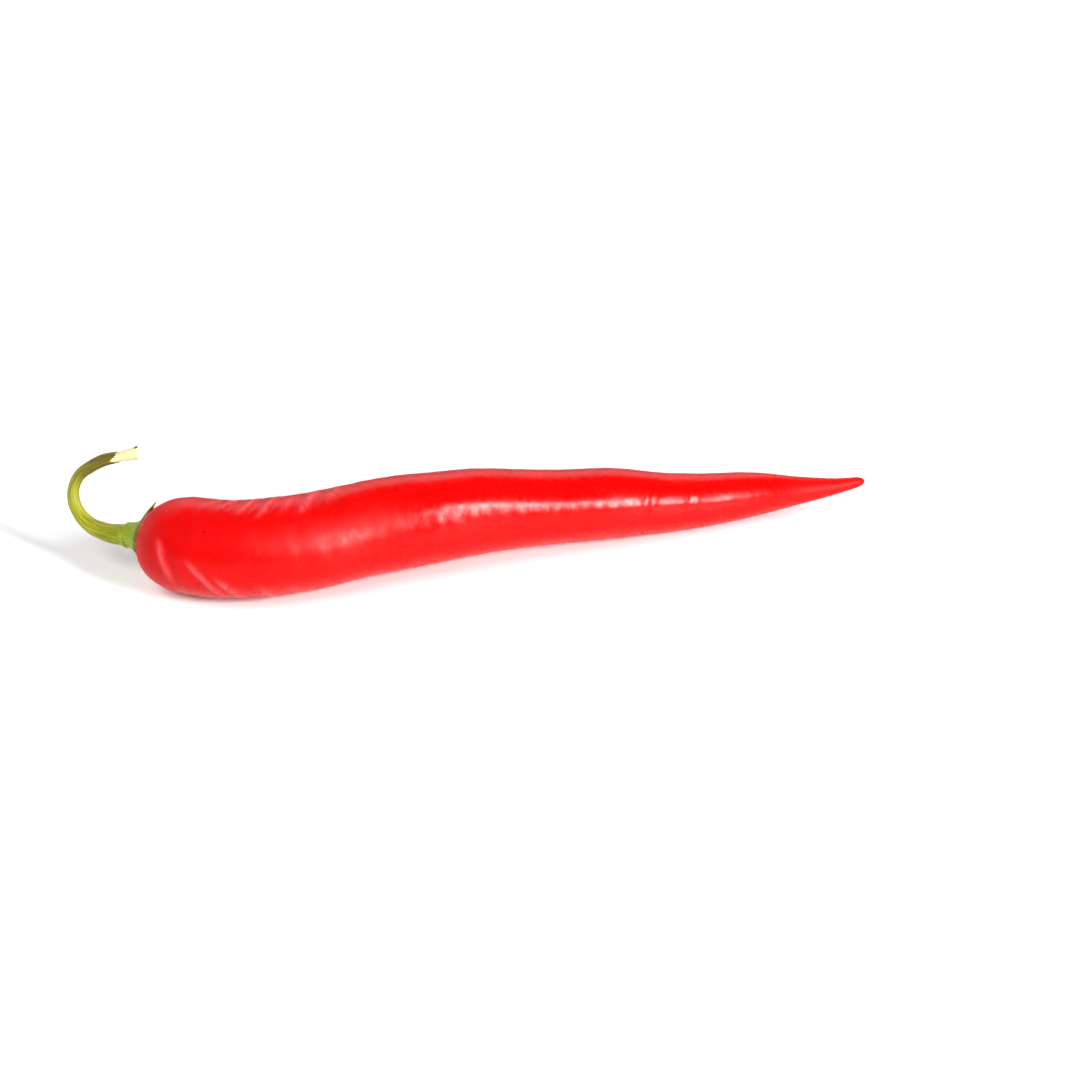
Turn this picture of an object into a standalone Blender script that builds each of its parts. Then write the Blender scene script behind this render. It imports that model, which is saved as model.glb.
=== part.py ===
"""A long red chilli pepper lying on its side: pod, calyx and stem.

Lengths are in millimetres and angles in degrees, up to the last step, which turns them into metres.
The pod's axis runs from the shoulder at -X to the tip at +X, and its underside rests on z = 0.
"""

import bmesh
import bpy
import numpy as np

MM = 0.001
UP = np.array((0.0, 0.0, 1.0))

# The pod's axis, from shoulder to tip: x, y, radius, and the height of the underside.
POD_STATIONS = (
    (-67.7, 3.9, 9.4, 0.0),
    (-60.0, -2.8, 9.5, 0.0),
    (-51.5, -7.0, 9.5, 0.0),
    (-39.5, -8.0, 9.4, 0.0),
    (-27.5, -6.8, 9.2, 0.4),
    (-15.5, -6.5, 9.0, 0.9),
    (-1.5, -6.3, 8.3, 1.3),
    (12.5, -6.7, 7.4, 1.1),
    (27.5, -7.4, 6.7, 0.5),
    (42.5, -7.6, 5.5, 0.0),
    (55.5, -7.1, 4.4, 0.3),
    (65.5, -6.6, 2.8, 0.9),
    (74.5, -6.4, 1.5, 1.8),
    (79.8, -6.3, 0.9, 2.6),
)
SHOULDER_LENGTH = 11.3
SHOULDER_ROUNDNESS = 2.2
TIP_LENGTH = 1.9
POD_FIRST_RING = 0.04
POD_LAST_RING = 0.15

# The calyx covers the end of the shoulder. Its angles turn about the pod's axis, and 90 is straight up.
CALYX_GAP = 0.3
CALYX_HOLLOW = 1.2
CALYX_REACH = 4.35
CALYX_LEAN = 0.95
CALYX_LEAN_AT = 60.0
CALYX_THICK = 0.8
CALYX_EDGE_THICK = 0.45
NECK_RADIUS = 2.36
NECK_HEIGHT = 2.9
NECK_FLARE = 1.1
NECK_CURVE = 2.5

# Each tooth of the calyx: its angle, length, half width in degrees and the lift of its tip.
TEETH = (
    (84.0, 2.2, 12.0, 0.8),
    (24.0, 2.1, 24.0, 0.3),
    (-48.0, 2.1, 24.0, 0.3),
    (160.0, 0.3, 24.0, 0.1),
    (232.0, 0.4, 24.0, 0.1),
)
TOOTH_SHARPNESS = 1.3
TOOTH_CURVE = 4

# The stem's route in the plane of its hook: distance out of the shoulder, height up the hook, radius.
STEM_STATIONS = (
    (3.2, -0.35, 2.36),
    (5.0, -0.42, 2.02),
    (7.2, -0.6, 1.82),
    (9.5, -0.5, 1.68),
    (11.9, 0.1, 1.45),
    (14.4, 1.7, 1.26),
    (16.0, 4.0, 1.19),
    (16.4, 6.9, 1.08),
    (15.4, 9.5, 1.10),
    (13.1, 11.6, 1.15),
    (10.1, 13.5, 1.18),
    (6.9, 14.7, 1.10),
    (2.7, 16.3, 1.36),
)
STEM_LEAN = 18.0

# How finely each piece is drawn.
FINE_STEPS = 2400
SHOULDER_STEPS = 40
SHOULDER_RINGS = 14
BODY_RINGS = 40
TIP_RINGS = 6
STEM_RINGS = 34
POD_SIDES = 22
STEM_SIDES = 12
CALYX_SIDES = 60
UNDER_POINTS = 7
OVER_POINTS = 6
NECK_POINTS = 6

# Base colour, roughness and metallic value.
LOOKS = {
    "pod": ((0.80, 0.004, 0.006, 1.0), 0.22, 0.0),
    "calyx": ((0.035, 0.11, 0.012, 1.0), 0.40, 0.0),
    "stem": ((0.16, 0.20, 0.025, 1.0), 0.50, 0.0),
}


def unit(vector):
    return vector / np.linalg.norm(vector)


def smooth(stations, count):
    """Rows read at even steps along a smooth curve through the stations' rows."""
    rows = np.array(stations)
    steps = np.linalg.norm(np.diff(rows[:, :2], axis=0), axis=1)
    along = np.concatenate(([0.0], np.cumsum(steps)))
    slopes = np.gradient(rows, along, axis=0)
    at = np.linspace(0.0, along[-1], count)
    left = np.clip(np.searchsorted(along, at) - 1, 0, len(rows) - 2)
    gap = (along[left + 1] - along[left])[:, None]
    t = (at - along[left])[:, None] / gap
    from_left = (2 * t**3 - 3 * t**2 + 1) * rows[left] + (t**3 - 2 * t**2 + t) * gap * slopes[left]
    from_right = (3 * t**2 - 2 * t**3) * rows[left + 1] + (t**3 - t**2) * gap * slopes[left + 1]
    return from_left + from_right


def pod_axis(count):
    """Points along the pod's axis and the pod's radius there, before its two ends are rounded."""
    x, y, radius, underside = smooth(POD_STATIONS, count).T
    return np.stack((x, y, underside + radius), axis=1), radius


def pod_route():
    """Points and radii along the pod, closer together where its ends are rounded."""
    fine, radius = pod_axis(FINE_STEPS)
    steps = np.linalg.norm(np.diff(fine, axis=0), axis=1)
    along = np.concatenate(([0.0], np.cumsum(steps)))
    length = along[-1]
    shoulder = SHOULDER_LENGTH * np.linspace(POD_FIRST_RING**0.5, 1.0, SHOULDER_RINGS) ** 2
    body = np.linspace(SHOULDER_LENGTH, length - TIP_LENGTH, BODY_RINGS)[1:-1]
    tip = length - TIP_LENGTH * np.linspace(1.0, POD_LAST_RING**0.5, TIP_RINGS) ** 2
    at = np.concatenate((shoulder, body, tip))
    points = np.stack([np.interp(at, along, axis) for axis in fine.T], axis=1)
    to_full = np.clip(1.0 - at / SHOULDER_LENGTH, 0.0, 1.0)
    to_end = np.clip(1.0 - (length - at) / TIP_LENGTH, 0.0, 1.0)
    rounding = (1.0 - to_full**SHOULDER_ROUNDNESS) ** (1.0 / SHOULDER_ROUNDNESS)
    rounding *= np.sqrt(1.0 - to_end**2)
    return points, np.interp(at, along, radius) * rounding


def shoulder_frame():
    """The top of the shoulder, the way out of it along the pod's axis, and the level way across it."""
    points, _ = pod_axis(FINE_STEPS)
    out = unit(points[0] - points[SHOULDER_STEPS])
    return points[0], out, unit(np.cross(out, UP))


def shoulder_depth(distance):
    """How far the shoulder's skin lies below its top at a distance from the axis, and its slope there."""
    radius = POD_STATIONS[0][2]
    share = (distance / radius) ** SHOULDER_ROUNDNESS
    depth = SHOULDER_LENGTH * (1.0 - (1.0 - share) ** (1.0 / SHOULDER_ROUNDNESS))
    steepness = (1.0 - share) ** (1.0 / SHOULDER_ROUNDNESS - 1.0)
    slope = SHOULDER_LENGTH / radius * steepness * (distance / radius) ** (SHOULDER_ROUNDNESS - 1.0)
    return depth, slope


def teeth_at(angle):
    """How far the teeth stand out of the calyx's rim at an angle, and how far their tips lift."""
    out, lift = 0.0, 0.0
    for at, length, half_width, curl in TEETH:
        turn = abs((angle - at + 180.0) % 360.0 - 180.0)
        share = max(0.0, 1.0 - turn / half_width) ** TOOTH_SHARPNESS
        out += share * length
        lift = max(lift, share * curl)
    return out, lift


def over_shoulder(angle, distance, height):
    """A point at a height over the shoulder's skin, in the calyx's own axes: across, up, out."""
    depth, slope = shoulder_depth(distance)
    lean = np.hypot(1.0, slope)
    reach = distance + height * slope / lean
    turn = np.radians(angle)
    return np.array((reach * np.cos(turn), reach * np.sin(turn), height / lean - depth))


def calyx_ribbon(angle):
    """One side of the calyx: under its middle, out to the rim, back over the top and up its neck."""
    teeth, curl = teeth_at(angle)
    reach = CALYX_REACH + CALYX_LEAN * np.cos(np.radians(angle - CALYX_LEAN_AT)) + teeth
    lift = CALYX_GAP + curl * np.linspace(0.0, 1.0, UNDER_POINTS) ** TOOTH_CURVE
    under = np.linspace(CALYX_HOLLOW, reach, UNDER_POINTS)
    ribbon = [over_shoulder(angle, distance, height) for distance, height in zip(under, lift)]
    over = np.linspace(reach, NECK_RADIUS + NECK_FLARE, OVER_POINTS)
    thick = np.linspace(CALYX_EDGE_THICK, CALYX_THICK, OVER_POINTS)
    lift = CALYX_GAP + curl * np.linspace(1.0, 0.0, OVER_POINTS) ** TOOTH_CURVE + thick
    ribbon += [over_shoulder(angle, distance, height) for distance, height in zip(over, lift)]
    foot = ribbon[-1][2]
    turn = np.radians(angle)
    for share in np.linspace(0.0, 1.0, NECK_POINTS)[1:]:
        radius = NECK_RADIUS + NECK_FLARE * (1.0 - share) ** NECK_CURVE
        height = foot + share * (NECK_HEIGHT - foot)
        ribbon.append(np.array((radius * np.cos(turn), radius * np.sin(turn), height)))
    return ribbon


def material(name):
    colour, roughness, metallic = LOOKS[name]
    made = bpy.data.materials.new(name)
    made.use_nodes = True
    shader = made.node_tree.nodes["Principled BSDF"]
    shader.inputs["Base Color"].default_value = colour
    shader.inputs["Roughness"].default_value = roughness
    shader.inputs["Metallic"].default_value = metallic
    made.diffuse_color = colour
    return made


def tube(name, points, radii, sides):
    """A round piece along a route: a bevelled curve, whose bevel is 1 mm times each point's radius."""
    curve = bpy.data.curves.new(name, "CURVE")
    curve.dimensions = "3D"
    curve.bevel_depth = MM
    curve.bevel_resolution = (sides - 4) // 2
    curve.use_fill_caps = True
    curve.resolution_u = 1
    curve.render_resolution_u = 0
    spline = curve.splines.new("POLY")
    spline.points.add(len(points) - 1)
    for knot, point, radius in zip(spline.points, points, radii):
        knot.co = (*(point * MM), 1.0)
        knot.radius = radius
    spline.use_smooth = True
    return bpy.data.objects.new(name, curve)


def build_pod():
    points, radii = pod_route()
    return tube("pod", points, radii, POD_SIDES)


def build_calyx():
    """The green cap: a loft of one ribbon at each angle, closed under its middle and on top of its neck."""
    top, out, across = shoulder_frame()
    axes = np.stack((across, unit(np.cross(out, across)), out))
    if axes[1][2] < 0.0:
        axes[1] = -axes[1]
    mesh = bmesh.new()
    angles = np.arange(CALYX_SIDES) * 360.0 / CALYX_SIDES
    ribbons = [
        [mesh.verts.new((top + point @ axes) * MM) for point in calyx_ribbon(angle)] for angle in angles
    ]
    for here, there in zip(ribbons, ribbons[1:] + ribbons[:1]):
        for corners in zip(here, here[1:], there[1:], there):
            mesh.faces.new(corners)
    mesh.faces.new([ribbon[0] for ribbon in ribbons])
    mesh.faces.new([ribbon[-1] for ribbon in ribbons])
    bmesh.ops.recalc_face_normals(mesh, faces=mesh.faces)
    for face in mesh.faces:
        face.smooth = len(face.verts) == 4
    data = bpy.data.meshes.new("calyx")
    mesh.to_mesh(data)
    mesh.free()
    return bpy.data.objects.new("calyx", data)


def build_stem():
    """The hooked stalk, in a plane that holds the pod's axis and leans back from upright."""
    top, out, across = shoulder_frame()
    lean = np.radians(STEM_LEAN)
    level = across if across[1] > 0.0 else -across
    up = unit(np.cos(lean) * UP + np.sin(lean) * level)
    up = unit(up - out * (up @ out))
    away, height, radii = smooth(STEM_STATIONS, STEM_RINGS).T
    points = top + away[:, None] * out + height[:, None] * up
    return tube("stem", points, radii, STEM_SIDES)


def main():
    for old in list(bpy.data.objects):
        bpy.data.objects.remove(old, do_unlink=True)
    collection = bpy.data.collections.new("chilli_pepper")
    bpy.context.scene.collection.children.link(collection)
    for build in (build_pod, build_calyx, build_stem):
        piece = build()
        piece.data.materials.append(material(piece.name))
        collection.objects.link(piece)


main()
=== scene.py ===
"""The looks of the long red chilli pepper: waxy pod, toothed calyx, ridged stem with a torn end.

Lengths are in millimetres and angles in degrees, unless a comment says otherwise. Where two distances say how
something fades, it is gone at the first and full at the second.
"""

import bpy
import numpy as np
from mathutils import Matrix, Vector, noise

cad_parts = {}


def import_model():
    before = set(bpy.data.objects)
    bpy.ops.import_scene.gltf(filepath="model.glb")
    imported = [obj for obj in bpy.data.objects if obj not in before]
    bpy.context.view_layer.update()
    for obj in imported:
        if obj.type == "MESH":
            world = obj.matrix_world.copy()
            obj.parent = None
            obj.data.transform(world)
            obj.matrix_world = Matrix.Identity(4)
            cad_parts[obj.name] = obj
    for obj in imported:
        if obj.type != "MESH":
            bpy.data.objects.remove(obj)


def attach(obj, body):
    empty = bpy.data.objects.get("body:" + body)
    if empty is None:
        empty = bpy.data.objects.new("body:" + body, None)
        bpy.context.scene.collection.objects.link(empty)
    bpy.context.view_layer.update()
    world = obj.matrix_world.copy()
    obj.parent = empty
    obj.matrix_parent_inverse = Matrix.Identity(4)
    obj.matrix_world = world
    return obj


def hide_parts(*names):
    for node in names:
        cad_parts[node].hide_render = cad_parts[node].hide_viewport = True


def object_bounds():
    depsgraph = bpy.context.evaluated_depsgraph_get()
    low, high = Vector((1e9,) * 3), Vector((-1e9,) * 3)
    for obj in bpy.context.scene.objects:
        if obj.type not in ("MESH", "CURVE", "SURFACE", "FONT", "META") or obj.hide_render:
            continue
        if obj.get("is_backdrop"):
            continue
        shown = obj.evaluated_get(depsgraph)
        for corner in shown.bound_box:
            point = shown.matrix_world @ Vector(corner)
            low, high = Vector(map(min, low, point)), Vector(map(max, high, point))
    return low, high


MM = 0.001
UP = np.array((0.0, 0.0, 1.0))

# The pod's axis, from shoulder to tip: x, y, radius, and the height of the underside.
POD_STATIONS = (
    (-67.7, 3.9, 9.4, 0.0),
    (-60.0, -2.8, 9.5, 0.0),
    (-51.5, -7.0, 9.5, 0.0),
    (-39.5, -8.0, 9.4, 0.0),
    (-27.5, -6.8, 9.2, 0.4),
    (-15.5, -6.5, 9.0, 0.9),
    (-1.5, -6.3, 8.3, 1.3),
    (12.5, -6.7, 7.4, 1.1),
    (27.5, -7.4, 6.7, 0.5),
    (42.5, -7.6, 5.5, 0.0),
    (55.5, -7.1, 4.4, 0.3),
    (65.5, -6.6, 2.8, 0.9),
    (74.5, -6.4, 1.5, 1.8),
    (79.8, -6.3, 0.9, 2.6),
)
POD_RADIUS = 9.4
SHOULDER_LENGTH = 11.3
SHOULDER_ROUNDNESS = 2.2
TIP_LENGTH = 1.9
# The axis is read in this many steps, and its direction at the shoulder over the first few.
FINE_STEPS = 2400
SHOULDER_STEPS = 40

# The pod's rings. From each of its ends to the full pod they stand at squares of even steps, from these to 1.
POD_RINGS = 700
SHOULDER_RINGS = 90
TIP_RINGS = 40
FIRST_RING = 0.02
LAST_RING = 0.03
POD_SIDES = 136

# Kinds of random bumps: length, width, height, and a seed that gives each kind its own stretch of noise.
POD_FOLDS = (3.1, 11.0, 0.15, 1)
POD_SWELLS = (17.0, 17.0, 0.13, 2)
POD_RIPPLES = (0.85, 1.8, 0.006, 3)
POD_DAPPLES = (2.1, 3.4, 0.060, 9)
CALYX_LUMPS = (1.1, 0.8, 0.085, 4)
CALYX_GRAIN = (0.5, 0.4, 0.03, 5)
BARK_GRAIN = (2.6, 0.35, 0.05, 6)
BARK_SWELLS = (5.0, 2.0, 0.07, 7)
TORN_END = (1.0, 2.2, 0.35, 8)
NOISE_STEP = 31.7

# The pod's lobes twist by LOBE_TWIST radians a millimetre. Its folds fade at both ends of their stretch, and
# its lobes and swells over the last CALM_TIP. All relief is lower on a thinner pod, down to LEAST_RELIEF.
LOBES = 3
LOBE_HEIGHT = 0.12
LOBE_TWIST = 0.035
FOLDS_START = (1.5, 9.0)
FOLDS_END = (60.0, 12.0)
CALM_TIP = 25.0
LEAST_RELIEF = 0.15

# Single forms on the skin: distance along, turn, half width, slant in mm a degree, half length, height.
# Turns go about the pod's axis from its -Y side, and 90 is the top.
CREASES = (
    (8.9, 6.0, 34.0, -0.04, 0.55, 0.20),
    (15.4, -12.0, 30.0, -0.11, 0.55, 0.28),
    (19.3, -28.0, 26.0, -0.10, 0.60, 0.26),
    (24.5, -38.0, 22.0, -0.09, 0.8, 0.16),
    (29.5, -42.0, 20.0, -0.09, 0.8, 0.10),
    (15.6, 100.0, 24.0, 0.10, 0.8, 0.08),
    (18.8, 98.0, 24.0, 0.11, 0.6, 0.16),
    (22.6, 95.0, 27.0, 0.11, 0.6, 0.23),
    (26.2, 90.0, 28.0, 0.12, 0.6, 0.23),
    (30.0, 88.0, 24.0, 0.12, 0.8, 0.09),
    (34.2, 88.0, 28.0, 0.13, 1.0, 0.20),
    (39.5, 92.0, 24.0, 0.13, 1.1, 0.09),
    (101.0, 24.0, 45.0, 0.02, 0.9, -0.09),
    (110.6, 30.0, 45.0, 0.02, 0.9, -0.08),
)
SWELLS = (
    (10.0, 100.0, 70.0, 0.0, 5.0, 0.12),
    (8.0, -20.0, 60.0, 0.0, 5.0, -0.35),
    (50.0, 95.0, 42.0, 0.0, 6.5, 0.30),
    (68.0, 95.0, 45.0, 0.0, 5.5, 0.22),
    (95.5, 100.0, 70.0, 0.0, 6.5, 0.38),
    (106.5, 92.0, 60.0, 0.0, 4.5, -0.18),
    (88.0, 4.0, 50.0, 0.0, 15.0, 0.36),
    (62.0, 62.0, 45.0, 0.0, 9.0, 0.20),
)
# A form keeps its full height over FORM_CORE of its half width, and fades where the pod is thinner than
# FORM_RADIUS of its full radius. The groove beside a crease is given by its share of the crease's height and
# its distance in half lengths. A crease as high as PALE_CREST takes the full painted reflection, a pale pink
# streak of colour along its ridge.
FORM_CORE = 0.3
FORM_RADIUS = 0.4
GROOVE_DEPTH = 0.7
GROOVE_OFFSET = 1.7
PALE_CREST = 0.20
# Small dark marks: distance along and turn.
MARKS = ((15.1, 48.0), (51.0, 71.0), (72.0, 205.0), (38.0, 250.0), (96.0, 158.0))
MARK_RADIUS = 0.34
MARK_DEPTH = 0.05
# Where the skin's wax is dull: a patch that fades out along the pod, strips along the top and the underside,
# and both ends. The patch and strips are given by turn and spread.
DULL_PATCH = (42.0, 30.0)
DULL_PATCH_END = (57.0, 45.0)
DULL_STRIPS = ((118.0, 34.0), (270.0, 42.0))
DULL_SHOULDER_END = (13.0, 7.0)
DULL_TIP_START = (126.0, 142.0)

# The calyx. Its angles turn about the pod's axis, and 90 is straight up. It reaches furthest at
# CALYX_LEAN_AT. Its underside starts CALYX_HOLLOW from the axis and is sunk by CALYX_SINK into the shoulder.
CALYX_SIDES = 300
CALYX_REACH = 4.35
CALYX_LEAN = 0.95
CALYX_LEAN_AT = 60.0
CALYX_HOLLOW = 1.2
CALYX_SINK = 0.12
CALYX_THICK = 0.80
CALYX_EDGE_THICK = 0.30
UNDER_POINTS = 12
OVER_POINTS = 34
NECK_POINTS = 18
# Waves in the rim: height, how many go round, and phase in radians.
RIM_WAVES = ((0.10, 7.0, 1.0), (0.05, 16.0, 0.0))
# The rim is rounded over RIM_ROUND of the way to the neck, and its squared thickness is RIM_THINNING less.
RIM_ROUND = 0.05
RIM_THINNING = 0.85
# Each tooth's angle, length, half width and the lift of its tip.
TEETH = (
    (84.0, 2.2, 12.0, 0.8),
    (24.0, 2.1, 24.0, 0.30),
    (-48.0, 2.1, 24.0, 0.30),
    (160.0, 0.3, 24.0, 0.10),
    (232.0, 0.4, 24.0, 0.10),
)
TOOTH_SHARPNESS = 1.3
TOOTH_CURVE = 4
# A rib runs up to each tooth. The weak ribs between are given by their share of its height, how many waves
# go round, and phase in radians.
RIB_SPREAD = 5.0
RIB_HEIGHT = 0.20
RIB_START = 0.35
NECK_RIB_HEIGHT = 0.16
NECK_RIB_END = 0.5
WEAK_RIBS = (0.45, 15.0, 0.6)
# The cap takes CAP_SHARE of the way from the rim to the neck's top, and its bumps fade at both ends of that
# way. They push away from the axis, and by BUMP_LEAN out along it.
CAP_SHARE = 0.7
BUMPS_FROM_RIM = (0.02, 0.12)
BUMPS_TO_STEM = (0.98, 0.7)
BUMP_LEAN = 2.0
NECK_RADIUS = 2.36
NECK_HEIGHT = 3.5
NECK_FLARE = 1.10
NECK_CURVE = 2.5

# The stem's route in the plane of its hook: distance out of the shoulder, height up the hook, radius.
STEM_STATIONS = (
    (3.2, -0.35, 2.36),
    (5.0, -0.42, 2.02),
    (7.2, -0.6, 1.82),
    (9.5, -0.5, 1.68),
    (11.9, 0.1, 1.45),
    (14.4, 1.7, 1.26),
    (16.0, 4.0, 1.19),
    (16.4, 6.9, 1.08),
    (15.4, 9.5, 1.10),
    (13.1, 11.6, 1.15),
    (10.1, 13.5, 1.18),
    (6.9, 14.7, 1.10),
    (2.7, 16.3, 1.36),
)
STEM_LEAN = 18.0
STEM_RINGS = 420
STEM_SIDES = 72
# Ridges twist by STEM_TWIST over the stem's length. RIDGE_HEIGHT is a share of its radius, and RIDGE_MEAN of
# the ridges' height. The fine ones are given by height, how many go to a ridge, and phase in radians. All of
# them fade over the first RIDGES_START and at RIDGES_END, measured back from the stem's end.
STEM_RIDGES = 5
STEM_TWIST = 70.0
RIDGE_HEIGHT = 0.17
RIDGE_MEAN = 0.64
FINE_RIDGES = (0.03, 3.0, 1.0)
RIDGES_START = 3.0
RIDGES_END = (-6.0, 12.0)
# The bark is torn BARE_WOOD short of the stem's end, with one notch and a fray of waves: height, how many go
# round, and phase in radians. Its lip turns in to the wood: distance back, and share of the stem's radius.
BARE_WOOD = 4.9
TEAR_NOTCH = 1.5
TEAR_NOTCH_AT = 235.0
TEAR_NOTCH_SPREAD = 28.0
TEAR_FRAY = 0.22
TEAR_WAVES = ((0.6, 5.0, 0.8), (0.4, 11.0, 0.0), (0.3, 17.0, 2.0))
BARK_LIP = ((0.02, 0.97), (0.10, 0.90), (0.5, 0.78))
# The wood starts WOOD_INSIDE the bark, at WOOD_SHARE of the stem's radius, and is WOOD_FLARE more from
# WOOD_FLARE_END before its end. Its last WOOD_RAGGED is ragged and slants, furthest out at END_SLANT_AT, on
# the -Y side. Its end is hollowed: distance back, and share of the rim's radius.
WOOD_INSIDE = 4.0
WOOD_RINGS = 150
WOOD_SHARE = 0.84
WOOD_FLARE = 0.14
WOOD_FLARE_END = 1.5
WOOD_RAGGED = 2.6
WOOD_WRINKLES = 0.5
WOOD_END = ((0.02, 0.93), (0.12, 0.8), (0.3, 0.55), (0.25, 0.25))
END_SLANT = 1.0
END_SLANT_AT = 270.0

# Colours, as linear red, green and blue.
RED_DEEP = (0.49, 0.0006, 0.0007)
RED_BRIGHT = (0.57, 0.0011, 0.0008)
# A painted reflection: the pale pink on the crease ridges stands in for the bright surroundings they mirror.
# The skin does not have this colour.
RED_PAINTED_SHEEN = (0.66, 0.075, 0.085)
RED_MARK = (0.21, 0.0008, 0.0008)
CALYX_SPOT = (0.12, 0.22, 0.03)
BARK_FRESH = (0.36, 0.47, 0.010)
BARK_DARK = (0.10, 0.12, 0.010)
BARK_PALE = (0.44, 0.46, 0.10)
WOOD_PALE = (0.88, 0.80, 0.45)
WOOD_DEEP = (0.80, 0.68, 0.33)
WOOD_BROWN = (0.10, 0.075, 0.03)
TABLE_WHITE = (0.92, 0.92, 0.92)
# From the calyx's rim to the top of its neck, and along the bark to its torn edge: position and colour.
CALYX_STOPS = (
    (0.0, (0.32, 0.17, 0.020)),
    (0.04, (0.18, 0.14, 0.012)),
    (0.10, (0.055, 0.105, 0.008)),
    (0.58, (0.110, 0.190, 0.009)),
    (0.76, (0.26, 0.34, 0.012)),
    (1.0, (0.34, 0.42, 0.014)),
)
BARK_STOPS = (
    (0.0, (0.36, 0.35, 0.013)),
    (0.50, (0.37, 0.36, 0.020)),
    (0.64, (0.28, 0.26, 0.020)),
    (0.78, (0.150, 0.115, 0.008)),
    (1.0, (0.120, 0.072, 0.005)),
)

# Patterns: blotch width, blotch length, the span of noise that is used, and what it is turned into.
SKIN_CLOUD = (9.0, 14.0, 0.35, 0.65, 0.0, 1.0)
# Noise that breaks the painted reflection on the crease ridges into blotches.
CREST_SHEEN_BREAKUP = (1.8, 0.8, 0.3, 0.6, 0.2, 0.9)
SKIN_ROUGHNESS = (1.5, 1.0, 0.3, 0.7, 0.16, 0.29)
CALYX_SHIFT = (0.9, 0.9, 0.2, 0.8, -0.08, 0.08)
CALYX_SPOTS = (0.45, 0.45, 0.45, 0.7, 0.0, 0.35)
CALYX_ROUGHNESS = (1.0, 1.0, 0.3, 0.7, 0.24, 0.42)
DARK_STREAKS = (0.30, 7.0, 0.40, 0.62, 0.0, 0.55)
PALE_STREAKS = (0.42, 9.0, 0.56, 0.70, 0.0, 0.45)
BARK_ROUGHNESS = (0.6, 3.0, 0.3, 0.7, 0.34, 0.52)
WOOD_FIBRES = (0.14, 4.0, 0.35, 0.65, 0.0, 1.0)
# Octaves of noise.
FINE_DETAIL = 2.0
PLAIN_DETAIL = 1.0
# Wrinkles too fine for the meshes: width, length and depth.
SKIN_WRINKLES = (1.1, 0.5, 0.013)
CALYX_PORES = (0.3, 0.3, 0.12)
BARK_GROOVES = (0.22, 3.0, 0.16)
BARK_PORES = (0.25, 0.3, 0.04)
WOOD_GROOVES = (0.12, 2.5, 0.12)
# Light under the surface: how much, how far red, green and blue go as shares, and how far a share of 1 is.
SKIN_GLOW = (0.12, (1.0, 0.12, 0.08), 2.2)
CALYX_GLOW = (0.08, (0.4, 1.0, 0.1), 0.8)
# The dull wax adds DULL_ROUGHNESS. A mark's colour fades at the values of MARK_EDGE.
DULL_ROUGHNESS = 0.26
MARK_EDGE = (0.35, 0.8)
# The bark's colours come BARK_SLANT later for each millimetre towards the hook's outer side. Fresh green
# covers FRESH_SHARE of it beside the calyx, with a slant of its own and an edge that blotches shift.
BARK_SLANT = 1.8
FRESH_SLANT = 0.9
FRESH_BLOTCHES = (0.9, 1.6)
FRESH_SHIFT = 2.4
FRESH_EDGE = (-0.9, -0.5)
FRESH_SHARE = 0.7
# The wood is brown in specks at the outer corner of its end: distances from its end and towards the outer
# side, the specks' width and length, and the values between which they show.
BROWN_END = (-0.9, 0.3)
BROWN_SIDE = (0.55, 1.1)
BROWN_SPECKS = (0.5, 0.5)
BROWN_EDGE = (0.85, 1.05)
WOOD_ROUGHNESS = (0.55, 0.70)
# The table's grain, in waves a metre, and its roughness: the span of noise, and what it is turned into.
TABLE_GRAIN = 900.0
TABLE_ROUGHNESS = (0.3, 0.7, 0.40, 0.50)

# The camera, by its bearing round the pepper, and what it looks at, from the middle of the model's underside.
CAMERA_AZIMUTH = -18.0
CAMERA_HEIGHT = 28.0
CAMERA_DISTANCE = 600.0
CAMERA_LENS = 100.0
CAMERA_SENSOR = 36.0
CAMERA_AIM = (10.7, -4.3)

# Soft lights: name, azimuth, height, distance and size in metres, watts, and whether shiny skin mirrors it.
SOFTBOXES = (
    ("key", 31.0, 23.0, 1.6, (0.28, 0.75), 48.0, True),
    ("back", 175.0, 32.0, 1.8, (2.4, 1.2), 17.0, True),
    ("fill", -60.0, 45.0, 1.6, (0.9, 0.9), 16.0, False),
    ("side", -124.0, 14.0, 1.6, (0.9, 0.5), 5.0, True),
)
WORLD_SEEN = 1.0
WORLD_LIGHT = 0.11
# The floor's radius, in metres, and how many sides its rim has.
FLOOR_RADIUS = 0.8
FLOOR_SIDES = 96


def unit(vectors):
    return vectors / np.linalg.norm(vectors, axis=-1, keepdims=True)


def distances(points):
    """The distance of each point along the route."""
    steps = np.linalg.norm(np.diff(points, axis=0), axis=1)
    return np.concatenate(([0.0], np.cumsum(steps)))


def smooth(stations, count):
    """Rows read at even steps along a smooth curve through the stations' rows."""
    rows = np.array(stations)
    along = distances(rows[:, :2])
    slopes = np.gradient(rows, along, axis=0)
    at = np.linspace(0.0, along[-1], count)
    left = np.clip(np.searchsorted(along, at) - 1, 0, len(rows) - 2)
    gap = (along[left + 1] - along[left])[:, None]
    t = (at - along[left])[:, None] / gap
    from_left = (2 * t**3 - 3 * t**2 + 1) * rows[left] + (t**3 - 2 * t**2 + t) * gap * slopes[left]
    from_right = (3 * t**2 - 2 * t**3) * rows[left + 1] + (t**3 - t**2) * gap * slopes[left + 1]
    return from_left + from_right


def relief(places, kind):
    """Smooth bumps of a kind at (across, up, along) places, about as deep as they are high."""
    length, width, height, seed = kind
    moved = places / (width, width, length) + (0.0, 0.0, NOISE_STEP * seed)
    found = np.array([noise.noise(place) for place in moved.reshape(-1, 3).tolist()])
    return found.reshape(places.shape[:-1]) * height


def waves(turn, kinds):
    """The sum of waves round a piece at a turn in radians: height, how many go round, and phase of each."""
    return sum(height * np.sin(count * turn + phase) for height, count, phase in kinds)


def fade(value, start, end):
    """0 up to start, 1 from end on, smooth between; or the other way where end is the smaller."""
    t = np.clip((value - start) / (end - start), 0.0, 1.0)
    return t * t * (3.0 - 2.0 * t)


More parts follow.
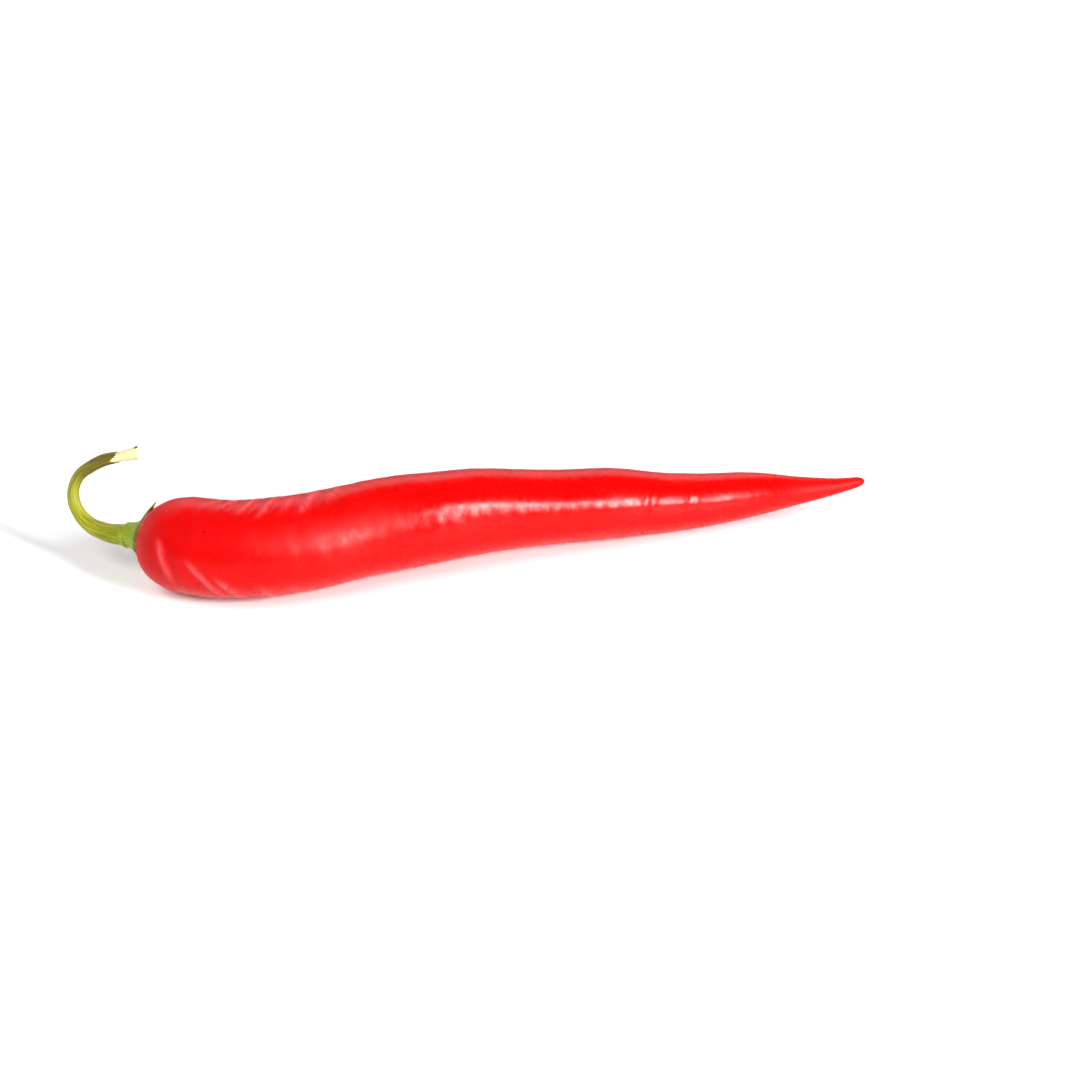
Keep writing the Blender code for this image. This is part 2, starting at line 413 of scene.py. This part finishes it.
def grid_faces(rings, sides):
    """Faces between neighbouring rings, closed around, facing out."""
    start = np.arange(rings - 1)[:, None] * sides
    here = start + np.arange(sides)
    after = start + (np.arange(sides) + 1) % sides
    return np.stack((here, here + sides, after + sides, after), axis=-1).reshape(-1, 4).tolist()


def lofted(name, rings, straight):
    """A closed mesh through rings of points, with a point at the middle of each end.

    straight holds the same points as if the piece were straight, (across, up, along) in millimetres, which
    its material reads, so that grain and wrinkles follow the piece's bends.
    """
    count, sides = rings.shape[:2]
    points = np.concatenate((rings.reshape(-1, 3), [rings[0].mean(axis=0), rings[-1].mean(axis=0)]))
    places = np.concatenate((straight.reshape(-1, 3), [straight[0].mean(axis=0), straight[-1].mean(axis=0)]))
    first, last = count * sides, count * sides + 1
    faces = grid_faces(count, sides)
    for here in range(sides):
        after = (here + 1) % sides
        faces.append((first, here, after))
        faces.append((last, (count - 1) * sides + after, (count - 1) * sides + here))
    mesh = bpy.data.meshes.new(name)
    mesh.from_pydata((points * MM).tolist(), [], faces)
    mesh.shade_smooth()
    kept = mesh.attributes.new("straight", "FLOAT_VECTOR", "POINT")
    kept.data.foreach_set("vector", places.astype(np.float32).ravel())
    return mesh


def keep_number(mesh, name, values):
    """Stores a number for each point of a loft's rings, and none at the middles of its two ends."""
    kept = mesh.attributes.new(name, "FLOAT", "POINT")
    kept.data.foreach_set("value", np.concatenate((values.ravel(), (0.0, 0.0))).astype(np.float32))


def shown(name, mesh, material, node):
    """Links a piece that stands for a CAD node and moves with the pepper."""
    piece = bpy.data.objects.new(name, mesh)
    bpy.context.scene.collection.objects.link(piece)
    mesh.materials.append(material)
    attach(piece, "root")
    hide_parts(node)


# ---------------------------------------------------------------- shapes


def pod_axis(count):
    """Points along the pod's axis and the pod's radius there, before its two ends are rounded."""
    x, y, radius, underside = smooth(POD_STATIONS, count).T
    return np.stack((x, y, underside + radius), axis=1), radius


def pod_spacing(length):
    """Distances along the pod's axis for its rings, closer together at its rounded ends."""
    shoulder = SHOULDER_LENGTH * np.linspace(FIRST_RING, 1.0, SHOULDER_RINGS) ** 2
    tip = length - TIP_LENGTH * np.linspace(1.0, LAST_RING, TIP_RINGS) ** 2
    between_ends = POD_RINGS - SHOULDER_RINGS - TIP_RINGS
    body = np.linspace(SHOULDER_LENGTH, length - TIP_LENGTH, between_ends + 2)[1:-1]
    return np.concatenate((shoulder, body, tip))


def apart(angle, other):
    """How far an angle is from another, either way."""
    return (angle - other + 180.0) % 360.0 - 180.0


def around(turn, centre):
    """How far a turn in radians is from another in degrees, in degrees either way."""
    return apart(np.degrees(turn), centre)


def form(along, turn, feature):
    """The distance from a form's middle line, in half lengths, and the form's height at that turn."""
    place, centre, half_width, slant, half_length, height = feature
    off = around(turn, centre)
    strength = height * fade(np.abs(off), half_width, FORM_CORE * half_width)
    return (along - place - slant * off) / half_length, strength


def crest_share(along, turn):
    """1 on the ridge of each crease, where its painted reflection is full, 0 away from it."""
    total = 0.0
    for feature in CREASES:
        off, strength = form(along, turn, feature)
        total = np.maximum(total, np.clip(strength / PALE_CREST, 0.0, 1.0) * np.exp(-(off**2)))
    return total


def forms_height(along, turn):
    """The height of the creases, each a ridge with a groove beside it, and of the broad swells."""
    total = 0.0
    for feature in CREASES:
        off, strength = form(along, turn, feature)
        groove = GROOVE_DEPTH * np.exp(-((off - GROOVE_OFFSET) ** 2))
        total = total + strength * (np.exp(-(off**2)) - groove)
    for feature in SWELLS:
        off, strength = form(along, turn, feature)
        total = total + strength * np.exp(-(off**2))
    return total


def mark_share(along, turn, radius):
    """1 in the middle of each small dark mark, 0 away from them."""
    total = np.zeros(np.broadcast(along, turn).shape)
    for place, centre in MARKS:
        aside = np.radians(around(turn, centre)) * radius
        total = np.maximum(total, np.exp(-((along - place) ** 2 + aside**2) / MARK_RADIUS**2))
    return total


def strip_share(turn, centre, spread):
    """1 at a turn, falling away beside it within about the spread, in degrees."""
    return np.exp(-((around(turn, centre) / spread) ** 2))


def dull_share(along, turn):
    """1 where the skin's wax is dullest, 0 where it shines most."""
    share = strip_share(turn, *DULL_PATCH) * fade(along, *DULL_PATCH_END)
    for centre, spread in DULL_STRIPS:
        share = np.maximum(share, strip_share(turn, centre, spread))
    share = np.maximum(share, fade(along, *DULL_SHOULDER_END))
    return np.maximum(share, fade(along, *DULL_TIP_START))


def skin_height(straight, along, turn, radius, length):
    """How far the pod's skin stands off the smooth pod."""
    full = fade(along, 0.0, SHOULDER_LENGTH) * fade(along, length, length - CALM_TIP)
    near_shoulder = fade(along, *FOLDS_END) * fade(along, *FOLDS_START)
    lobes = np.cos(LOBES * turn + LOBE_TWIST * along) * LOBE_HEIGHT * full
    folds = relief(straight, POD_FOLDS) * near_shoulder
    swells = relief(straight, POD_SWELLS) * full
    fine = relief(straight, POD_DAPPLES) + relief(straight, POD_RIPPLES)
    single = forms_height(along, turn) - MARK_DEPTH * mark_share(along, turn, radius)
    random = (lobes + folds + swells + fine) * np.clip(radius / POD_RADIUS, LEAST_RELIEF, 1.0)
    return random + single * fade(radius, 0.0, FORM_RADIUS * POD_RADIUS)


def pod_mesh():
    fine, fine_radius = pod_axis(FINE_STEPS)
    fine_along = distances(fine)
    length = fine_along[-1]
    at = pod_spacing(length)
    centres = np.stack([np.interp(at, fine_along, axis) for axis in fine.T], axis=1)
    to_full = np.clip(1.0 - at / SHOULDER_LENGTH, 0.0, 1.0)
    to_end = np.clip(1.0 - (length - at) / TIP_LENGTH, 0.0, 1.0)
    rounding = (1.0 - to_full**SHOULDER_ROUNDNESS) ** (1.0 / SHOULDER_ROUNDNESS)
    rounding *= np.sqrt(1.0 - to_end**2)
    radius = (np.interp(at, fine_along, fine_radius) * rounding)[:, None]
    ahead = unit(np.gradient(fine, axis=0))
    ahead = unit(np.stack([np.interp(at, fine_along, axis) for axis in ahead.T], axis=1))
    side = unit(np.cross(ahead, UP))
    above = np.cross(side, ahead)
    turn = np.arange(POD_SIDES) * 2.0 * np.pi / POD_SIDES
    along = np.broadcast_to(at[:, None], (len(at), POD_SIDES))
    straight = np.stack((radius * np.cos(turn), radius * np.sin(turn), along), axis=-1)
    stand = radius + skin_height(straight, along, turn, radius, length)
    spokes = np.cos(turn)[None, :, None] * side[:, None] + np.sin(turn)[None, :, None] * above[:, None]
    rings = centres[:, None] + stand[..., None] * spokes
    rings[..., 2] = np.maximum(rings[..., 2], 0.0)
    mesh = lofted("pod_skin", rings, straight)
    keep_number(mesh, "mark", mark_share(along, turn, radius))
    keep_number(mesh, "crest", crest_share(along, turn))
    keep_number(mesh, "dull", dull_share(along, turn))
    return mesh


def shoulder_frame():
    """The top of the shoulder, the way out of it along the pod's axis, and the level way across it."""
    points, _ = pod_axis(FINE_STEPS)
    out = unit(points[0] - points[SHOULDER_STEPS])
    return points[0], out, unit(np.cross(out, UP))


def shoulder_depth(distance):
    """How far the shoulder's skin lies below its top at a distance from the axis, and its slope there."""
    share = (distance / POD_RADIUS) ** SHOULDER_ROUNDNESS
    depth = SHOULDER_LENGTH * (1.0 - (1.0 - share) ** (1.0 / SHOULDER_ROUNDNESS))
    steepness = (1.0 - share) ** (1.0 / SHOULDER_ROUNDNESS - 1.0)
    slope = SHOULDER_LENGTH / POD_RADIUS * steepness * (distance / POD_RADIUS) ** (SHOULDER_ROUNDNESS - 1.0)
    return depth, slope


def teeth_at(angle):
    """How far the teeth stand out of the calyx's rim at an angle, and how far their tips lift."""
    out, lift = 0.0, 0.0
    for at, length, half_width, curl in TEETH:
        share = max(0.0, 1.0 - abs(apart(angle, at)) / half_width) ** TOOTH_SHARPNESS
        out += share * length
        lift = max(lift, share * curl)
    return out, lift


def over_shoulder(angle, distance, height):
    """A point at a height over the shoulder's skin, in the calyx's own axes: across, up, out."""
    depth, slope = shoulder_depth(distance)
    lean = np.hypot(1.0, slope)
    reach = distance + height * slope / lean
    turn = np.radians(angle)
    return np.array((reach * np.cos(turn), reach * np.sin(turn), height / lean - depth))


def rib_height(angle):
    """1 along the rib that runs up to each tooth, falling away beside it, with weaker ribs between."""
    nearest = min(abs(apart(angle, tooth[0])) for tooth in TEETH)
    main = np.exp(-((nearest / RIB_SPREAD) ** 2))
    height, count, phase = WEAK_RIBS
    weak = height * np.cos(np.radians(angle) * count + phase) ** 2
    return max(main, weak)


def calyx_reach(angle):
    """How far the calyx's rim is from its middle at an angle, and how far a tooth lifts it there."""
    teeth, lift = teeth_at(angle)
    lean = CALYX_LEAN * np.cos(np.radians(angle - CALYX_LEAN_AT))
    return CALYX_REACH + lean + waves(np.radians(angle), RIM_WAVES) + teeth, lift


def under_points(angle, reach, curl):
    """Points under the calyx at an angle, from near its middle out to its rim."""
    lift = curl * np.linspace(0.0, 1.0, UNDER_POINTS) ** TOOTH_CURVE - CALYX_SINK
    distance = np.linspace(CALYX_HOLLOW, reach, UNDER_POINTS)
    return [over_shoulder(angle, d, h) for d, h in zip(distance, lift)]


def over_points(angle, reach, curl, back):
    """Points over the calyx at an angle, at shares of the way back from its rim to the foot of its neck."""
    distance = reach + (NECK_RADIUS + NECK_FLARE - reach) * back
    thick = CALYX_EDGE_THICK + (CALYX_THICK - CALYX_EDGE_THICK) * back
    thick = thick * np.sqrt(1.0 - (1.0 - np.clip(back / RIM_ROUND, 0.0, 1.0)) ** 2 * RIM_THINNING)
    rib = rib_height(angle) * RIB_HEIGHT * fade(back, 0.0, RIB_START)
    lift = curl * (1.0 - back) ** TOOTH_CURVE - CALYX_SINK + thick + rib
    return [over_shoulder(angle, d, h) for d, h in zip(distance, lift)]


def neck_points(angle, foot, up):
    """Points on the neck at an angle, at shares of the way up it from the height of its foot."""
    rib = rib_height(angle) * NECK_RIB_HEIGHT * fade(up, 1.0, NECK_RIB_END)
    radius = NECK_RADIUS + NECK_FLARE * (1.0 - up) ** NECK_CURVE + rib
    turn = np.radians(angle)
    height = foot + up * (NECK_HEIGHT - foot)
    return list(np.stack((radius * np.cos(turn), radius * np.sin(turn), height), axis=1))


def calyx_ribbon(angle):
    """One side of the calyx, and how near each point is to the stem: 0 at the rim, 1 at the neck's top."""
    reach, curl = calyx_reach(angle)
    back = np.linspace(0.0, 1.0, OVER_POINTS)
    up = np.linspace(0.0, 1.0, NECK_POINTS)[1:]
    ribbon = under_points(angle, reach, curl) + over_points(angle, reach, curl, back)
    ribbon += neck_points(angle, ribbon[-1][2], up)
    near = np.concatenate((np.zeros(UNDER_POINTS), CAP_SHARE * back, CAP_SHARE + (1.0 - CAP_SHARE) * up))
    return ribbon, near


def calyx_axes():
    """The calyx's origin on top of the shoulder, and its own axes: across, up, out."""
    top, out, across = shoulder_frame()
    above = unit(np.cross(out, across))
    return top, np.stack((across, above if above[2] > 0.0 else -above, out))


def calyx_mesh():
    """The green cap. Its points and rings run from under its middle, out to the rim and back up its neck."""
    top, axes = calyx_axes()
    angles = np.arange(CALYX_SIDES) * 360.0 / CALYX_SIDES
    sides = [calyx_ribbon(angle) for angle in angles]
    own = np.array([ribbon for ribbon, _ in sides]).transpose(1, 0, 2)
    near = np.array([share for _, share in sides]).T
    bumps = relief(own, CALYX_LUMPS) + relief(own, CALYX_GRAIN)
    bumps = bumps * fade(near, *BUMPS_FROM_RIM) * fade(near, *BUMPS_TO_STEM)
    outward = unit(own * (1.0, 1.0, 0.0) + (0.0, 0.0, BUMP_LEAN))
    own = own + outward * bumps[..., None]
    if np.linalg.det(axes) > 0.0:
        own, near = own[:, ::-1], near[:, ::-1]
    mesh = lofted("calyx_cap", top + own @ axes, own)
    keep_number(mesh, "near_neck", near)
    return mesh


def stem_route():
    """Points and radii along the stem, and at each two ways across it: the hook's outer side, and level."""
    top, out, across = shoulder_frame()
    lean = np.radians(STEM_LEAN)
    level = across if across[1] > 0.0 else -across
    up = unit(np.cos(lean) * UP + np.sin(lean) * level)
    up = unit(up - out * (up @ out))
    away, height, radii = smooth(STEM_STATIONS, STEM_RINGS).T
    points = top + away[:, None] * out + height[:, None] * up
    ahead = unit(np.gradient(points, axis=0))
    normal = np.cross(out, up)
    outer = unit(np.cross(ahead, normal))
    return points, radii, outer, np.broadcast_to(normal, outer.shape)


def along_route(values, along, at):
    """The rows of values, given at distances along, read at other distances."""
    return np.stack([np.interp(at, along, column) for column in values.T], axis=-1)


def stem_tube(name, at, share, wrinkle):
    """A tube along the stem: its points' distances at, (rings, sides), and their share of its full radius."""
    points, radii, outer, level = stem_route()
    along = distances(points)
    turn = np.arange(STEM_SIDES) * 2.0 * np.pi / STEM_SIDES
    radius = np.interp(at, along, radii) * share
    straight = np.stack((radius * np.cos(turn), radius * np.sin(turn), at), axis=-1)
    phase = STEM_RIDGES * (turn - np.radians(STEM_TWIST) * at / along[-1])
    fine_height, fine_count, fine_phase = FINE_RIDGES
    ridges = (np.abs(np.cos(0.5 * phase)) - RIDGE_MEAN) * RIDGE_HEIGHT
    ridges = ridges + fine_height * np.cos(fine_count * phase + fine_phase)
    strength = fade(at, 0.0, RIDGES_START) * fade(at, *(along[-1] - distance for distance in RIDGES_END))
    stand = radius * (1.0 + ridges * strength * wrinkle)
    stand = stand + relief(straight, BARK_GRAIN) * wrinkle + relief(straight, BARK_SWELLS)
    spoke = np.cos(turn)[:, None] * along_route(outer, along, at)
    spoke = spoke + np.sin(turn)[:, None] * along_route(level, along, at)
    return lofted(name, along_route(points, along, at) + stand[..., None] * spoke, straight)


def tear_line(length):
    """How far along the stem its bark ends, at each side: a frayed line with one deep notch."""
    turn = np.arange(STEM_SIDES) * 2.0 * np.pi / STEM_SIDES
    notch = TEAR_NOTCH * np.exp(-((around(turn, TEAR_NOTCH_AT) / TEAR_NOTCH_SPREAD) ** 2))
    return length - BARE_WOOD - notch + TEAR_FRAY * waves(turn, TEAR_WAVES)


def stem_length():
    return distances(stem_route()[0])[-1]


def on_all_sides(rows):
    """Rows of (distance back, share of the radius), each column as its own array of (rows, sides)."""
    return np.array(rows).T[..., None] + np.zeros(STEM_SIDES)


def bark_mesh():
    """The green and brown bark, from inside the calyx's neck to the torn edge that turns in to the wood."""
    edge = tear_line(stem_length())
    at = np.linspace(0.0, 1.0, STEM_RINGS)[:, None] * edge
    back, lip_share = on_all_sides(BARK_LIP)
    share = np.concatenate((np.ones_like(at), lip_share))
    return stem_tube("stem_bark", np.concatenate((at, edge - back)), share, 1.0)


def wood_mesh():
    """The pale wood bared by the tear, thinner under the bark and widest at its broken end."""
    length = stem_length()
    turn = np.arange(STEM_SIDES) * 2.0 * np.pi / STEM_SIDES
    cut = END_SLANT * np.cos(turn - np.radians(END_SLANT_AT))
    at = np.linspace(length - BARE_WOOD - WOOD_INSIDE, length, WOOD_RINGS)[:, None] + np.zeros(STEM_SIDES)
    fibres = np.zeros((*at.shape, 3))
    fibres[..., 0] = np.arange(STEM_SIDES)
    at = at + fade(at, length - WOOD_RAGGED, length) * (relief(fibres, TORN_END) + cut)
    share = WOOD_SHARE + WOOD_FLARE * fade(at, length - BARE_WOOD, length - WOOD_FLARE_END)
    back, end_share = on_all_sides(WOOD_END)
    share = np.concatenate((share, share[-1] * end_share))
    return stem_tube("stem_wood", np.concatenate((at, at[-1] - back)), share, WOOD_WRINKLES)


# ---------------------------------------------------------------- materials


def plug(tree, socket, value):
    """Links another node's output to a socket, or sets it to a plain value."""
    if isinstance(value, bpy.types.NodeSocket):
        tree.links.new(value, socket)
    else:
        socket.default_value = value


def straight_place(tree):
    """The point's place as if its piece were straight."""
    read = tree.nodes.new("ShaderNodeAttribute")
    read.attribute_name = "straight"
    return read.outputs["Vector"]


def along_and_outer(tree, place):
    """How far along the stem a straight place is, and how far towards the outer side of the hook."""
    parts = tree.nodes.new("ShaderNodeSeparateXYZ")
    tree.links.new(place, parts.inputs[0])
    return parts.outputs["Z"], parts.outputs["X"]


def stored(tree, name):
    """A number that the mesh holds for each point."""
    read = tree.nodes.new("ShaderNodeAttribute")
    read.attribute_name = name
    return read.outputs["Fac"]


def mottle(tree, place, width, length, detail=FINE_DETAIL):
    """Noise about 0.5, with blotches of that width around and that length along, in millimetres."""
    stretch = tree.nodes.new("ShaderNodeMapping")
    plug(tree, stretch.inputs["Vector"], place)
    stretch.inputs["Scale"].default_value = (1.0 / width, 1.0 / width, 1.0 / length)
    made = tree.nodes.new("ShaderNodeTexNoise")
    plug(tree, made.inputs["Vector"], stretch.outputs["Vector"])
    made.inputs["Scale"].default_value = 1.0
    made.inputs["Detail"].default_value = detail
    return made.outputs["Fac"]


def maths(tree, operation, *values):
    made = tree.nodes.new("ShaderNodeMath")
    made.operation = operation
    for socket, value in zip(made.inputs, values):
        plug(tree, socket, value)
    return made.outputs[0]


def between(tree, value, low, high, to_low=0.0, to_high=1.0):
    """A value turned from one range into another, and kept inside it."""
    made = tree.nodes.new("ShaderNodeMapRange")
    names = ("Value", "From Min", "From Max", "To Min", "To Max")
    for name, number in zip(names, (value, low, high, to_low, to_high)):
        plug(tree, made.inputs[name], number)
    return made.outputs["Result"]


def pattern(tree, place, kind, detail=FINE_DETAIL):
    """Noise of a kind, turned into the kind's range."""
    width, length, *span = kind
    return between(tree, mottle(tree, place, width, length, detail), *span)


def blend(tree, share, first, second):
    """A colour from first, at 0, to second, at 1."""
    made = tree.nodes.new("ShaderNodeMix")
    made.data_type = "RGBA"
    plug(tree, made.inputs[0], share)
    for socket, colour in ((made.inputs[6], first), (made.inputs[7], second)):
        plug(tree, socket, (*colour, 1.0) if isinstance(colour, tuple) else colour)
    return made.outputs[2]


def ramp(tree, value, stops):
    """A colour read from (position, colour) stops."""
    made = tree.nodes.new("ShaderNodeValToRGB")
    plug(tree, made.inputs["Fac"], value)
    elements = made.color_ramp.elements
    for position, _ in stops[1:-1]:
        elements.new(position)
    for element, (position, colour) in zip(elements, stops):
        element.position = position
        element.color = (*colour, 1.0)
    return made.outputs["Color"]


def bump(tree, place, kind, under=None):
    """A normal wrinkled by noise of a kind, over another normal."""
    width, length, depth = kind
    made = tree.nodes.new("ShaderNodeBump")
    made.inputs["Distance"].default_value = depth * MM
    plug(tree, made.inputs["Height"], mottle(tree, place, width, length))
    if under is not None:
        plug(tree, made.inputs["Normal"], under)
    return made.outputs["Normal"]


def new_material(name):
    """A material, its node tree and the inputs of its shader."""
    made = bpy.data.materials.new(name)
    made.use_nodes = True
    return made, made.node_tree, made.node_tree.nodes["Principled BSDF"].inputs


def glow(inputs, share, radius, scale):
    """Light that passes under the surface: how much of it, and how far each colour goes."""
    inputs["Subsurface Weight"].default_value = share
    inputs["Subsurface Radius"].default_value = radius
    inputs["Subsurface Scale"].default_value = scale * MM


def skin_material():
    """Taut waxy skin: saturated red and faintly mottled, with a pale painted reflection along the crease
    ridges and fine wrinkles in its shine.
    """
    made, tree, inputs = new_material("chilli_skin")
    place = straight_place(tree)
    colour = blend(tree, pattern(tree, place, SKIN_CLOUD), RED_DEEP, RED_BRIGHT)
    # Painted reflection: the crease ridges are coloured pale pink, as if they mirrored the bright
    # surroundings, broken up by noise.
    crest_sheen = maths(tree, "MULTIPLY", stored(tree, "crest"), pattern(tree, place, CREST_SHEEN_BREAKUP))
    colour = blend(tree, crest_sheen, colour, RED_PAINTED_SHEEN)
    mark = between(tree, stored(tree, "mark"), *MARK_EDGE)
    plug(tree, inputs["Base Color"], blend(tree, mark, colour, RED_MARK))
    waxy = pattern(tree, place, SKIN_ROUGHNESS)
    rough = maths(tree, "MULTIPLY_ADD", stored(tree, "dull"), DULL_ROUGHNESS, waxy)
    plug(tree, inputs["Roughness"], rough)
    plug(tree, inputs["Normal"], bump(tree, place, SKIN_WRINKLES))
    inputs["IOR"].default_value = 1.38
    inputs["Specular IOR Level"].default_value = 0.22
    glow(inputs, *SKIN_GLOW)
    return made


def calyx_material():
    """Leathery green, darkest over the shoulder and yellow-green up the neck, with a thin brown rim."""
    made, tree, inputs = new_material("calyx_green")
    place = straight_place(tree)
    near = maths(tree, "ADD", stored(tree, "near_neck"), pattern(tree, place, CALYX_SHIFT))
    colour = ramp(tree, near, CALYX_STOPS)
    colour = blend(tree, pattern(tree, place, CALYX_SPOTS), colour, CALYX_SPOT)
    plug(tree, inputs["Base Color"], colour)
    plug(tree, inputs["Roughness"], pattern(tree, place, CALYX_ROUGHNESS))
    plug(tree, inputs["Normal"], bump(tree, place, CALYX_PORES))
    inputs["Specular IOR Level"].default_value = 0.25
    glow(inputs, *CALYX_GLOW)
    return made


def bark_material():
    """Green bark with long pale and dark streaks, olive up the hook and brown towards the torn edge."""
    made, tree, inputs = new_material("stem_bark")
    place = straight_place(tree)
    along, outer = along_and_outer(tree, place)
    later = maths(tree, "MULTIPLY_ADD", outer, -BARK_SLANT, along)
    colour = ramp(tree, between(tree, later, 0.0, stem_length() - BARE_WOOD), BARK_STOPS)
    fresh = maths(tree, "MULTIPLY_ADD", outer, FRESH_SLANT, maths(tree, "MULTIPLY", along, -1.0))
    fresh = maths(tree, "MULTIPLY_ADD", mottle(tree, place, *FRESH_BLOTCHES), FRESH_SHIFT, fresh)
    colour = blend(tree, between(tree, fresh, *FRESH_EDGE, 0.0, FRESH_SHARE), colour, BARK_FRESH)
    colour = blend(tree, pattern(tree, place, DARK_STREAKS), colour, BARK_DARK)
    colour = blend(tree, pattern(tree, place, PALE_STREAKS, PLAIN_DETAIL), colour, BARK_PALE)
    plug(tree, inputs["Base Color"], colour)
    plug(tree, inputs["Roughness"], pattern(tree, place, BARK_ROUGHNESS))
    plug(tree, inputs["Normal"], bump(tree, place, BARK_PORES, bump(tree, place, BARK_GROOVES)))
    inputs["Specular IOR Level"].default_value = 0.22
    return made


def wood_material():
    """Pale cream wood with fine fibres, browned at the outer corner of its broken end."""
    made, tree, inputs = new_material("stem_wood")
    place = straight_place(tree)
    along, outer = along_and_outer(tree, place)
    fibres = pattern(tree, place, WOOD_FIBRES)
    colour = blend(tree, fibres, WOOD_PALE, WOOD_DEEP)
    near_end = between(tree, along, *(stem_length() + distance for distance in BROWN_END))
    near_corner = maths(tree, "MULTIPLY", near_end, between(tree, outer, *BROWN_SIDE))
    specks = maths(tree, "ADD", mottle(tree, place, *BROWN_SPECKS), near_corner)
    colour = blend(tree, between(tree, specks, *BROWN_EDGE), colour, WOOD_BROWN)
    plug(tree, inputs["Base Color"], colour)
    plug(tree, inputs["Roughness"], between(tree, fibres, 0.0, 1.0, *WOOD_ROUGHNESS))
    plug(tree, inputs["Normal"], bump(tree, place, WOOD_GROOVES))
    return made


def floor_material():
    """A plain white table top, very slightly uneven in its gloss."""
    made, tree, inputs = new_material("white_table")
    grain = tree.nodes.new("ShaderNodeTexNoise")
    plug(tree, grain.inputs["Vector"], tree.nodes.new("ShaderNodeTexCoord").outputs["Object"])
    grain.inputs["Scale"].default_value = TABLE_GRAIN
    plug(tree, inputs["Roughness"], between(tree, grain.outputs["Fac"], *TABLE_ROUGHNESS))
    inputs["Base Color"].default_value = (*TABLE_WHITE, 1.0)
    inputs["Specular IOR Level"].default_value = 0.25
    return made


# ---------------------------------------------------------------- stage, lights and camera


def bearing(azimuth, height):
    """A unit vector towards an azimuth, where 0 is -Y and 90 is +X, and a height above level."""
    turn, rise = np.radians(azimuth), np.radians(height)
    return np.array((np.sin(turn) * np.cos(rise), -np.cos(turn) * np.cos(rise), np.sin(rise)))


def aim(thing, place, target):
    """Puts a light or camera at a place, in metres, and turns it towards a target."""
    thing.location = Vector(place)
    thing.rotation_euler = (Vector(target) - Vector(place)).to_track_quat("-Z", "Y").to_euler()


def add_floor():
    turn = np.arange(FLOOR_SIDES) * 2.0 * np.pi / FLOOR_SIDES
    rim = np.stack((np.cos(turn), np.sin(turn), 0.0 * turn), axis=1) * FLOOR_RADIUS
    mesh = bpy.data.meshes.new("floor")
    mesh.from_pydata(rim.tolist(), [], [tuple(range(FLOOR_SIDES))])
    mesh.materials.append(floor_material())
    floor = bpy.data.objects.new("floor", mesh)
    bpy.context.scene.collection.objects.link(floor)
    floor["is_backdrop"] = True


def add_softbox(target, name, azimuth, height, distance, size, watts, shine):
    """A soft rectangular light, which the camera doesn't see itself, and shiny skin only with shine."""
    light = bpy.data.lights.new(name, "AREA")
    light.shape = "RECTANGLE"
    light.size, light.size_y = size
    light.energy = watts
    lamp = bpy.data.objects.new(name, light)
    lamp.visible_camera = False
    lamp.visible_glossy = shine
    bpy.context.scene.collection.objects.link(lamp)
    aim(lamp, target + bearing(azimuth, height) * distance, target)


def add_world():
    """White to the camera, and a dimmer even light on everything else."""
    world = bpy.data.worlds.new("studio")
    world.use_nodes = True
    tree = world.node_tree
    rays = tree.nodes.new("ShaderNodeLightPath")
    strength = between(tree, rays.outputs["Is Camera Ray"], 0.0, 1.0, WORLD_LIGHT, WORLD_SEEN)
    plug(tree, tree.nodes["Background"].inputs["Strength"], strength)
    tree.nodes["Background"].inputs["Color"].default_value = (1.0, 1.0, 1.0, 1.0)
    bpy.context.scene.world = world


def add_camera(middle):
    data = bpy.data.cameras.new("camera")
    data.lens = CAMERA_LENS
    data.sensor_width = CAMERA_SENSOR
    camera = bpy.data.objects.new("camera", data)
    bpy.context.scene.collection.objects.link(camera)
    target = middle + np.array((*CAMERA_AIM, 0.0)) * MM
    aim(camera, target + bearing(CAMERA_AZIMUTH, CAMERA_HEIGHT) * CAMERA_DISTANCE * MM, target)
    bpy.context.scene.camera = camera


def main():
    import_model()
    cad_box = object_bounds()
    low, high = (np.array(corner) for corner in cad_box)
    middle = (low + high) / 2.0 * (1.0, 1.0, 0.0)
    add_camera(middle)
    add_world()
    add_floor()
    for softbox in SOFTBOXES:
        add_softbox(middle, *softbox)
    shown("pod_skin", pod_mesh(), skin_material(), "pod")
    shown("calyx_cap", calyx_mesh(), calyx_material(), "calyx")
    shown("stem_bark", bark_mesh(), bark_material(), "stem")
    shown("stem_wood", wood_mesh(), wood_material(), "stem")
    bpy.context.scene.view_settings.view_transform = "Standard"
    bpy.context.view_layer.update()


main()
